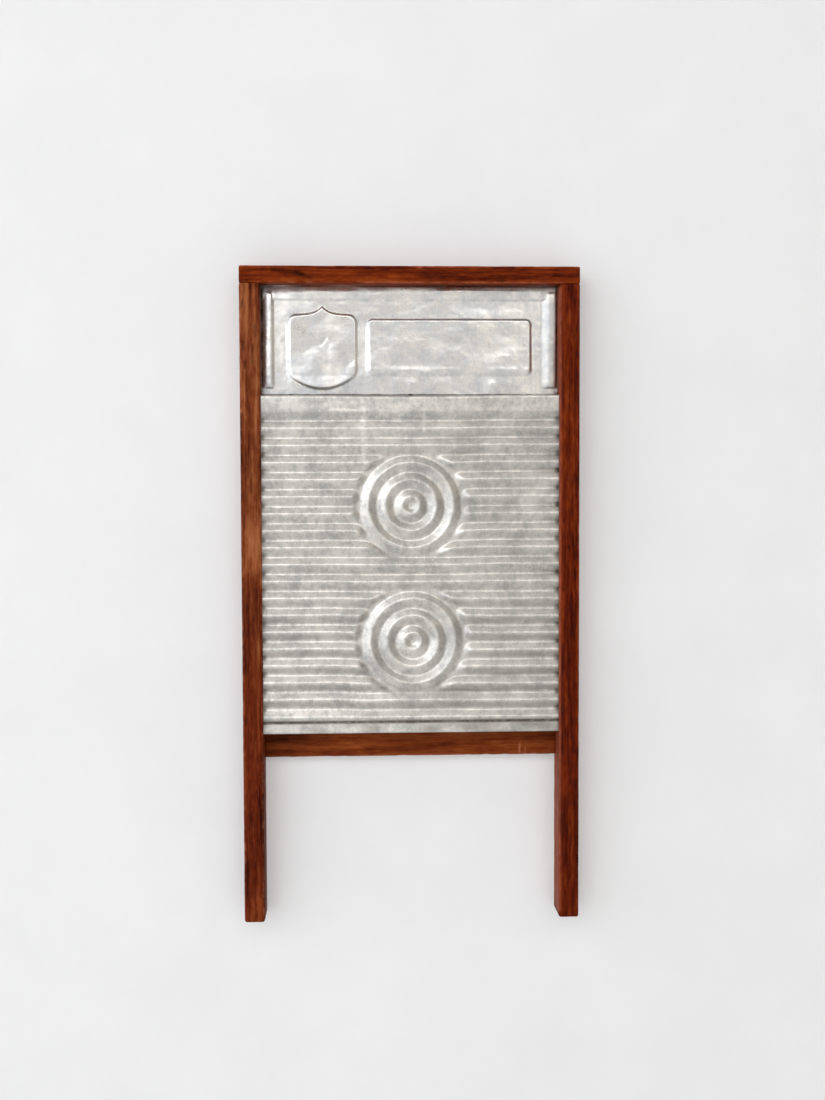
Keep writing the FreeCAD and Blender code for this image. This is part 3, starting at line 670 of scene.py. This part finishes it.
def settle_ledge(piece):
    """Planes the ledge board down to the sagging sheet that is folded over it."""
    points = read_points(piece.data)
    x, y, z = points.T
    frontness = np.clip((rub_high.y - y) / (rub_high.y - rub_low.y - FOLD_RADIUS), 0, 1)
    cover = rub_high.z - 2 * SHEET_THICKNESS + ledge_sag(x) * frontness
    points[:, 2] = np.minimum(z, cover)
    write_points(piece.data, points)


# ---------------------------------------------------------------- materials

# Colours are 0 to 255 display values, except the blotches and the darkening, which multiply the colour.
# Wood is dark, middle and light; aluminium is clean, cloudy and dark, the dark tone used for pits, settled
# soiling and painted shade.
VARNISHES = {
    "left_stile": ((66, 22, 8), (118, 57, 29), (154, 92, 56)),
    "right_stile": ((50, 9, 1), (95, 29, 5), (130, 54, 16)),
    "top_rail": ((70, 18, 1), (118, 43, 8), (146, 68, 22)),
    "bottom_rail": ((86, 32, 8), (117, 53, 20), (137, 70, 32)),
}
BARE_WOOD = ((104, 72, 44), (150, 112, 74), (184, 148, 106))
BLOTCH_DARK = (0.74, 0.68, 0.62)
BLOTCH_LIGHT = (1.18, 1.18, 1.18)
LOWER_LEFT_STILE = (0.3, (0.68, 0.43, 0.32))
RUB_METAL = ((232, 228, 222), (185, 184, 181), (104, 94, 84))
HEAD_METAL = ((243, 240, 235), (203, 205, 208), (96, 86, 74))
SCOURED = (255, 252, 246)


class Shader:
    """A material's node tree with short calls for its nodes."""

    def __init__(self, name):
        self.material = bpy.data.materials.new(name)
        self.material.use_nodes = True
        self.tree = self.material.node_tree
        self.surface = self.tree.nodes["Principled BSDF"]

    def node(self, kind, inputs=None, **settings):
        """A node with settings on itself and values or links on its inputs."""
        made = self.tree.nodes.new(kind)
        for key, value in settings.items():
            setattr(made, key, value)
        for key, value in (inputs or {}).items():
            if isinstance(value, bpy.types.NodeSocket):
                self.tree.links.new(value, made.inputs[key])
            else:
                made.inputs[key].default_value = value
        return made

    def place(self, scale=(1, 1, 1), shift=(0, 0, 0)):
        """Object coordinates in metres times a scale on each axis."""
        source = self.node("ShaderNodeTexCoord").outputs["Object"]
        inputs = {"Vector": source, "Scale": scale, "Location": shift}
        return self.node("ShaderNodeMapping", inputs).outputs[0]

    def noise(self, cells, detail, roughness, distortion=0.0, shift=(0, 0, 0)):
        """Noise with this many cells per metre on each axis, or on all three if cells is one number."""
        scale = cells if isinstance(cells, tuple) else (cells, cells, cells)
        inputs = {"Vector": self.place(scale, shift), "Scale": 1.0, "Detail": detail,
                  "Roughness": roughness, "Distortion": distortion}
        return self.node("ShaderNodeTexNoise", inputs).outputs["Fac"]

    def remap(self, value, low, high, to_low=0.0, to_high=1.0):
        """Stretches a value from one range to another, clamped."""
        inputs = {"Value": value, "From Min": low, "From Max": high, "To Min": to_low, "To Max": to_high}
        return self.node("ShaderNodeMapRange", inputs).outputs[0]

    def math(self, operation, a, b):
        """One sum, difference, product or maximum of two values."""
        return self.node("ShaderNodeMath", {0: a, 1: b}, operation=operation).outputs[0]

    def blend(self, *parts):
        """The sum of values, each given with its share."""
        total, *rest = [self.math("MULTIPLY", value, share) for value, share in parts]
        for term in rest:
            total = self.math("ADD", total, term)
        return total

    def ramp(self, value, stops):
        """Colours along a value; stops are (place, linear colour)."""
        made = self.node("ShaderNodeValToRGB", {"Fac": value})
        band = made.color_ramp
        while len(band.elements) < len(stops):
            band.elements.new(0.5)
        for element, (place, colour) in zip(band.elements, stops):
            element.position = place
            element.color = (*colour, 1)
        return made.outputs[0]

    def mix(self, share, a, b, how="MIX"):
        """Mixes two colours; the node's inputs 6 and 7 are its colours."""
        made = self.node("ShaderNodeMix", data_type="RGBA", blend_type=how)
        for key, value in ((0, share), (6, a), (7, b)):
            if isinstance(value, bpy.types.NodeSocket):
                self.tree.links.new(value, made.inputs[key])
            else:
                made.inputs[key].default_value = value if key == 0 else (*value, 1)
        return made.outputs[2]

    def attribute(self, name):
        """A number kept in the mesh's points."""
        return self.node("ShaderNodeAttribute", attribute_name=name).outputs["Fac"]

    def finish(self, colour, roughness, height, distance, metallic=0.0, **constants):
        """Connects the surface; height is raised by distance metres."""
        self.tree.links.new(colour, self.surface.inputs["Base Color"])
        self.tree.links.new(roughness, self.surface.inputs["Roughness"])
        self.surface.inputs["Metallic"].default_value = metallic
        relief = self.node("ShaderNodeBump", {"Height": height, "Distance": distance, "Strength": 1.0})
        self.tree.links.new(relief.outputs[0], self.surface.inputs["Normal"])
        for key, value in constants.items():
            self.surface.inputs[key.replace("_", " ")].default_value = value
        return self.material


def linear(red, green, blue):
    """A colour given in 0 to 255 display values, as linear values."""
    return tuple(((v / 255 + 0.055) / 1.055) ** 2.4 for v in (red, green, blue))


def wood_material(name, grain, tones, shift, smooth=0.5, darkening=None):
    """Old oiled wood: figure, streaks, fibres, pores, stains and worn edges.

    smooth is its roughness, give or take some patches. darkening is a height and a colour multiplier
    for the wood below about that height.
    """
    dark, middle, light = (linear(*tone) for tone in tones)
    burnt = tuple(v * 0.3 for v in dark)
    bare_wood = tuple(min(1.0, v * 1.5 + 0.05) for v in light)
    shader = Shader(name)
    spot = (shift, shift * 1.7, shift * 0.6)

    def along(across, ratio, detail, distortion=0.0):
        """Noise with this many cells per metre across the fibres and fewer along them."""
        cells = [across, across, across]
        cells[grain] = across * ratio
        return shader.noise(tuple(cells), detail, 0.58, distortion, spot)

    figure = along(55, 0.09, 3.0, 0.9)
    streak = along(210, 0.05, 4.0, 0.3)
    fibre = along(620, 0.035, 3.0)
    fleck = along(420, 0.12, 2.0)
    dash = along(330, 0.28, 3.0)
    blotch = shader.noise(14, 3.0, 0.55, shift=spot)
    worn = shader.noise(110, 4.0, 0.6, shift=spot)
    patch = shader.noise(45, 3.0, 0.6, shift=spot)

    tone = shader.blend((figure, 0.35), (streak, 0.3), (fibre, 0.15), (dash, 0.2))
    colour = shader.ramp(tone, [(0.41, dark), (0.5, middle), (0.59, light)])
    shade = shader.ramp(shader.remap(blotch, 0.3, 0.7), [(0.0, BLOTCH_DARK), (1.0, BLOTCH_LIGHT)])
    colour = shader.mix(1.0, colour, shade, "MULTIPLY")
    if darkening:
        fade_z, multiplier = darkening
        split = shader.node("ShaderNodeSeparateXYZ", {0: shader.place()})
        level = shader.math("ADD", split.outputs["Z"], shader.math("MULTIPLY", streak, 0.25))
        deep = shader.mix(1.0, colour, multiplier, "MULTIPLY")
        colour = shader.mix(shader.remap(level, fade_z + 0.07, fade_z + 0.19), deep, colour)
    pores = shader.remap(fleck, 0.63, 0.74)
    colour = shader.mix(shader.math("MULTIPLY", pores, 0.7), colour, burnt)
    colour = shader.mix(shader.attribute("stain"), colour, burnt)
    edges = shader.remap(shader.attribute("arris"), 0.35, 0.95)
    rubbed = shader.math("MULTIPLY", edges, shader.remap(worn, 0.45, 0.65))
    rubbed = shader.math("ADD", shader.math("MULTIPLY", rubbed, 0.45), shader.attribute("bare"))
    colour = shader.mix(rubbed, colour, bare_wood)

    roughness = shader.remap(patch, 0.3, 0.7, smooth - 0.07, smooth + 0.14)
    height = shader.blend((fibre, 0.5), (pores, -0.6))
    return shader.finish(colour, roughness, height, 0.12 * MM, Specular_IOR_Level=0.04)


def aluminium_material(name, tones, smooth, shift):
    """Worn soft aluminium: cloudy oxide, settled soiling with painted shade, rubbed streaks and fine
    scratches.

    smooth is its roughness, give or take the clouds.
    """
    clean, cloudy, dirt_and_shade_tone, scoured = (linear(*tone) for tone in (*tones, SCOURED))
    shader = Shader(name)
    spot = (shift, shift, shift)
    cloud = shader.noise(34, 5.0, 0.62, 0.4, spot)
    mottle = shader.noise(190, 4.0, 0.65, shift=spot)
    speck = shader.noise(800, 3.0, 0.6, shift=spot)
    streak = shader.noise((240, 240, 10), 4.0, 0.6, shift=spot)
    scratch = shader.noise((35, 300, 1800), 3.0, 0.55, shift=spot)
    dirt_and_shade_share = shader.attribute("dirt_and_shade")
    scuffs = shader.attribute("scuffs")

    tone = shader.blend((cloud, 0.45), (mottle, 0.35), (speck, 0.2))
    colour = shader.ramp(tone, [(0.42, cloudy), (0.58, clean)])
    rubbed = shader.math("MULTIPLY", shader.remap(streak, 0.58, 0.72), 0.4)
    colour = shader.mix(rubbed, colour, tuple(min(1.0, v * 1.12) for v in clean))
    pits = shader.math("MULTIPLY", shader.remap(speck, 0.68, 0.76), 0.18)
    colour = shader.mix(pits, colour, dirt_and_shade_tone)
    colour = shader.mix(shader.math("MULTIPLY", scuffs, 0.8), colour, scoured)
    # The dark layer is partly settled soiling, partly painted shade.
    mottled_dirt_and_shade = shader.math("MULTIPLY", dirt_and_shade_share, shader.remap(mottle, 0.3, 0.55, 0.55, 1.0))
    colour = shader.mix(mottled_dirt_and_shade, colour, dirt_and_shade_tone)

    roughness = shader.remap(tone, 0.38, 0.62, smooth + 0.08, smooth - 0.06)
    roughness = shader.math("ADD", roughness, shader.math("MULTIPLY", dirt_and_shade_share, 0.25))
    roughness = shader.math("ADD", roughness, shader.math("MULTIPLY", scuffs, 0.12))
    height = shader.blend((speck, 0.3), (scratch, 0.35), (mottle, 1.2), (cloud, 3.0))
    return shader.finish(colour, roughness, height, 0.06 * MM, metallic=1.0)


def nail_material():
    """Dull dark steel with brown rust bloom."""
    shader = Shader("nail_steel")
    rust = shader.noise(900, 4.0, 0.6)
    colour = shader.ramp(rust, [(0.4, linear(84, 78, 72)), (0.62, linear(70, 44, 30))])
    roughness = shader.remap(rust, 0.35, 0.65, 0.42, 0.75)
    return shader.finish(colour, roughness, rust, 0.08 * MM, metallic=0.8)


def dress(piece, material):
    """Gives every face of a piece one material."""
    piece.data.materials.clear()
    piece.data.materials.append(material)


# ---------------------------------------------------------------- pieces

def build_sheets():
    """The two aluminium sheets, the head sheet paler and brighter than the rubbing sheet."""
    rub = make_rub_sheet()
    dress(rub, aluminium_material("rub_aluminium", RUB_METAL, 0.41, 0.3))
    head = make_head_sheet()
    dress(head, aluminium_material("head_aluminium", HEAD_METAL, 0.31, 0.7))
    for piece, node in ((rub, "rub_sheet"), (head, "head_sheet")):
        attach(piece, "root")
        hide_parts(node)


def build_frame():
    """The four boards in red-brown varnish; the left stile turns darker below its middle."""
    for node, name, grain, shift, wear, seed, darkening in (
            ("left_stile", "left_leg_stile", ALONG_Z, 0.0, 6, 31, LOWER_LEFT_STILE),
            ("right_stile", "right_leg_stile", ALONG_Z, 5.0, 6, 37, None),
            ("top_rail", "top_crosspiece", ALONG_X, 9.0, 3, 41, None),
            ("bottom_rail", "bottom_crosspiece", ALONG_X, 13.0, 3, 43, None)):
        varnished = wood_material(node + "_wood", grain, VARNISHES[node], shift, darkening=darkening)
        dress(worn_wood(node, name, grain, FRAME_VOXEL, wear, seed), varnished)


def build_hidden_boards():
    """The boards behind the sheets, bare and paler."""
    bare = wood_material("bare_board", ALONG_X, BARE_WOOD, 21.0, smooth=0.62)
    for number, node in enumerate(("foot_rail", "ledge_rail", "head_board", "upper_back_slat",
                                   "middle_back_slat", "lower_back_slat")):
        board = worn_wood(node, node + "_board", ALONG_X, HIDDEN_VOXEL, 2, 51 + 2 * number)
        dress(board, bare)
        if node == "ledge_rail":
            settle_ledge(board)


def build_nails():
    """The nails and tacks keep their CAD shape."""
    steel = nail_material()
    for node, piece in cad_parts.items():
        if "nails" in node or "tacks" in node:
            dress(piece, steel)


# ---------------------------------------------------------------- stage, light and camera

WALL_GAP = 1.5 * MM
STAGE_REACH = 3.0
FLOOR_DROP = 0.32
LIGHT_DISTANCE = 4.0
LIGHT_TARGET = Vector((0, 0, 0.33))

# Lamps, as azimuth and elevation, spread across and upwards, radiance and colour; angles in degrees
COOL, NEUTRAL, WARM = (0.94, 0.97, 1.0), (1.0, 0.985, 0.96), (1.0, 0.94, 0.86)
LAMPS = {
    "window_front": (29, 12, (32, 45), 1.51, COOL),
    "window_side": (66, 15, (42, 50), 1.81, COOL),
    "wall_behind_viewer": (0, -3, (26, 20), 0.6, NEUTRAL),
    "upper_strip": (0, 11.5, (60, 4), 0.3, NEUTRAL),
    "upper_front": (0, 27, (60, 20), 1.18, NEUTRAL),
    "high_front": (8, 38, (50, 16), 1.55, NEUTRAL),
    "upper_ceiling": (0, 60, (90, 16), 0.16, NEUTRAL),
    "ceiling": (0, 80, (110, 30), 1.04, NEUTRAL),
    "right_near": (-22, 12, (26, 45), 0.7, WARM),
    "right_far": (-62, 12, (50, 45), 0.4, WARM),
    "behind": (190, 24, (40, 30), 0.9, NEUTRAL),
}
# Brightness of the surround at shares of the way from straight down to straight up
SURROUND_LEVELS = ((0.0, 0.06), (0.5, 0.04), (1.0, 0.08))
SURROUND_TINT = (1.0, 0.985, 0.96)

# Camera: sensor width and focal length in millimetres, turns in degrees
SENSOR_WIDTH = 36
FOCAL_LENGTH = 41.86
CAMERA_PLACE = Vector((-0.0486, stile_low.y - 1.184, 0.4027))
CAMERA_TURN = (90 - 2.634, 0.195, -2.414)


def wall_material():
    """Matt white paint that glows faintly, seen only from its front and casting no shadow."""
    shader = Shader("wall_paint")
    mottle = shader.noise(9, 4.0, 0.6)
    colour = shader.ramp(mottle, [(0.3, linear(208, 208, 209)), (0.7, linear(213, 213, 214))])
    grain = shader.noise(420, 3.0, 0.6)
    roughness = shader.remap(mottle, 0.3, 0.7, 0.85, 0.95)
    material = shader.finish(colour, roughness, grain, 0.1 * MM,
                             Emission_Color=(0.98, 0.985, 1, 1), Emission_Strength=0.2)
    clear = shader.node("ShaderNodeBsdfTransparent").outputs[0]
    behind = shader.node("ShaderNodeNewGeometry").outputs["Backfacing"]
    shadow = shader.node("ShaderNodeLightPath").outputs["Is Shadow Ray"]
    share = shader.math("MAXIMUM", behind, shadow)
    both = shader.node("ShaderNodeMixShader", {0: share, 1: shader.surface.outputs[0], 2: clear})
    shader.tree.links.new(both.outputs[0], shader.tree.nodes["Material Output"].inputs["Surface"])
    return material


def floor_material():
    """Matt pale paint."""
    shader = Shader("floor_paint")
    mottle = shader.noise(6, 4.0, 0.6)
    colour = shader.ramp(mottle, [(0.3, linear(222, 222, 222)), (0.7, linear(229, 229, 228))])
    roughness = shader.remap(mottle, 0.3, 0.7, 0.8, 0.9)
    return shader.finish(colour, roughness, mottle, 0.2 * MM)


def stage_quad(name, corners, material):
    """A flat four-cornered piece of the room."""
    mesh = bpy.data.meshes.new(name)
    mesh.from_pydata(corners, [], [(0, 1, 2, 3)])
    piece = bpy.data.objects.new(name, mesh)
    bpy.context.collection.objects.link(piece)
    dress(piece, material)


def build_stage():
    """A pale wall that the board hangs on and a pale floor below the picture."""
    wall_y = BACK_Y + WALL_GAP
    reach = STAGE_REACH
    low = -FLOOR_DROP
    wall = [(-reach, wall_y, low), (reach, wall_y, low), (reach, wall_y, reach), (-reach, wall_y, reach)]
    floor = [(-reach, -reach, low), (reach, -reach, low), (reach, reach, low), (-reach, reach, low)]
    stage_quad("wall", wall, wall_material())
    stage_quad("floor", floor, floor_material())


def softbox(name, azimuth, elevation, spread, radiance, colour):
    """A rectangular lamp facing the board, placed by angles: azimuth to the left of the front."""
    azimuth, elevation = math.radians(azimuth), math.radians(elevation)
    level = math.cos(elevation)
    outward = Vector((-math.sin(azimuth) * level, -math.cos(azimuth) * level, math.sin(elevation)))
    data = bpy.data.lights.new(name, "AREA")
    data.shape = "RECTANGLE"
    data.size, data.size_y = [2 * LIGHT_DISTANCE * math.tan(math.radians(angle / 2)) for angle in spread]
    data.energy = math.pi * data.size * data.size_y * radiance
    data.color = colour
    lamp = bpy.data.objects.new(name, data)
    lamp.location = LIGHT_TARGET + outward * LIGHT_DISTANCE
    lamp.rotation_euler = (-outward).to_track_quat("-Z", "Y").to_euler()
    bpy.context.collection.objects.link(lamp)


def build_lamps():
    """A room with tall windows on the left, a pale ceiling and a dim right side."""
    for name, settings in LAMPS.items():
        softbox(name, *settings)


def build_surround():
    """A dim surround, a little brighter above and below than level with the eye."""
    world = bpy.data.worlds.new("surround")
    world.use_nodes = True
    tree = world.node_tree
    direction = tree.nodes.new("ShaderNodeTexCoord").outputs["Generated"]
    split = tree.nodes.new("ShaderNodeSeparateXYZ")
    upward = tree.nodes.new("ShaderNodeMapRange")
    upward.inputs["From Min"].default_value = -1
    ramp = tree.nodes.new("ShaderNodeValToRGB")
    ramp.color_ramp.elements.new(0.5)
    for stop, (place, level) in zip(ramp.color_ramp.elements, SURROUND_LEVELS):
        stop.position = place
        stop.color = (*(level * share for share in SURROUND_TINT), 1)
    tree.links.new(direction, split.inputs[0])
    tree.links.new(split.outputs["Z"], upward.inputs["Value"])
    tree.links.new(upward.outputs[0], ramp.inputs[0])
    tree.links.new(ramp.outputs[0], tree.nodes["Background"].inputs["Color"])
    bpy.context.scene.world = world


def build_camera():
    """The view: almost square on, a little above the board's middle, turned slightly right and down."""
    data = bpy.data.cameras.new("view")
    data.sensor_width = SENSOR_WIDTH
    data.lens = FOCAL_LENGTH
    camera = bpy.data.objects.new("view", data)
    camera.location = CAMERA_PLACE
    camera.rotation_euler = [math.radians(angle) for angle in CAMERA_TURN]
    bpy.context.collection.objects.link(camera)
    bpy.context.scene.camera = camera


build_sheets()
build_frame()
build_hidden_boards()
build_nails()
build_stage()
build_lamps()
build_surround()
build_camera()
bpy.context.scene.view_settings.view_transform = "Standard"
